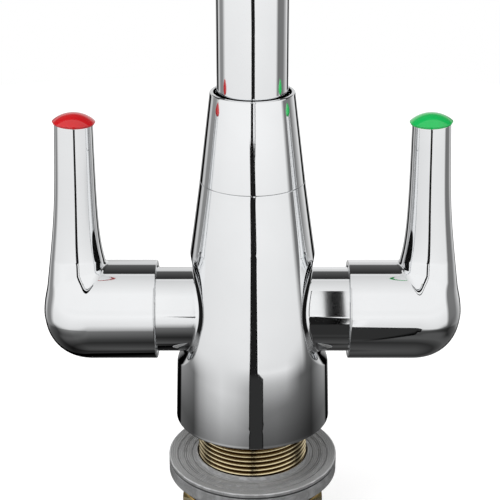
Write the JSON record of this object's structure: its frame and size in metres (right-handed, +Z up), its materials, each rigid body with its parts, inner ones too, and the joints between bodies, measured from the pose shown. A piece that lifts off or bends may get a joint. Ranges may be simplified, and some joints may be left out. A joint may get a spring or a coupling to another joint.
{
  "type": "kitchen mixer tap",
  "caption": "Kitchen mixer tap with a conical body, upright quarter-turn lever handles on side arms, a turning swan neck spout and a threaded shank with its clamp set.",
  "frame": {"origin": "centre of the underside of the body's foot, in the plane of the worktop, on the axis of the threaded shank", "axes": "+Z up along body and shank, -Y towards the user and the spout's outlet, +X to the user's right, the cold side"},
  "size_m": [0.1224, 0.2176, 0.38],
  "materials": {
    "chrome_plate": "bright chrome plate on brass, mirror polished",
    "brass": "turned, not plated",
    "steel": "plain stainless steel",
    "black_rubber": "moulded black rubber",
    "grey_gasket": "grey, slightly see-through moulded rubber with fine turned grooves",
    "nylon": "natural white nylon",
    "ceramic": "polished alumina ceramic, for which glossy plastic stands in",
    "red_cap": "glossy red plastic",
    "green_cap": "glossy green plastic"
  },
  "bodies": {
    "body": {"body_casting": "chrome_plate", "spout_collar": "chrome_plate", "threaded_shank": "brass", "base_o_ring": "black_rubber", "spout_thrust_washer": "nylon", "spout_slip_ring": "nylon", "hot_valve_body": "brass", "hot_valve_washer": "black_rubber", "hot_fixed_disc": "ceramic", "hot_seat_seal": "black_rubber", "cold_valve_body": "brass", "cold_valve_washer": "black_rubber", "cold_fixed_disc": "ceramic", "cold_seat_seal": "black_rubber"},
    "spout": {"spout_tube": "chrome_plate", "spout_root": "brass", "spout_o_rings": "black_rubber", "spout_nozzle": "chrome_plate", "aerator_housing": "chrome_plate", "aerator_insert": "nylon", "aerator_screens": "steel", "aerator_washer": "black_rubber"},
    "hot_handle_set": {"hot_handle": "chrome_plate", "hot_index_cap": "red_cap", "hot_grub_screw": "steel", "hot_handle_adaptor": "nylon", "hot_spindle": "brass", "hot_moving_disc": "ceramic", "hot_spindle_o_rings": "black_rubber", "hot_circlip": "steel"},
    "cold_handle_set": {"cold_handle": "chrome_plate", "cold_index_cap": "green_cap", "cold_grub_screw": "steel", "cold_handle_adaptor": "nylon", "cold_spindle": "brass", "cold_moving_disc": "ceramic", "cold_spindle_o_rings": "black_rubber", "cold_circlip": "steel"},
    "clamp_set": {"clamp_gasket": "grey_gasket", "clamp_washer": "steel"},
    "nut": {"lock_nut": "brass"}
  },
  "joints": [
    {"name": "spout_swivel", "type": "hinge", "parent": "body", "child": "spout", "pos_m": [0, 0, 0.1], "axis": [0, 0, 1], "continuous": true},
    {"name": "hot_lever", "type": "hinge", "parent": "body", "child": "hot_handle_set", "pos_m": [-0.04, 0, 0.0343], "axis": [1, 0, 0], "range_deg": [0, 90]},
    {"name": "cold_lever", "type": "hinge", "parent": "body", "child": "cold_handle_set", "pos_m": [0.04, 0, 0.0343], "axis": [1, 0, 0], "range_deg": [0, 90]},
    {"name": "clamp_slide", "type": "slide", "parent": "body", "child": "clamp_set", "axis": [0, 0, 1], "range_m": [-0.0216, 0.01345]},
    {"name": "nut_spin", "type": "hinge", "parent": "clamp_set", "child": "nut", "pos_m": [0, 0, -0.0244], "axis": [0, 0, 1], "range_deg": [-5160, 3216]}
  ],
  "couplings": [
    {"joint": "clamp_slide", "follows": "nut_spin", "m_per_rad": 0.00023873}
  ]
}
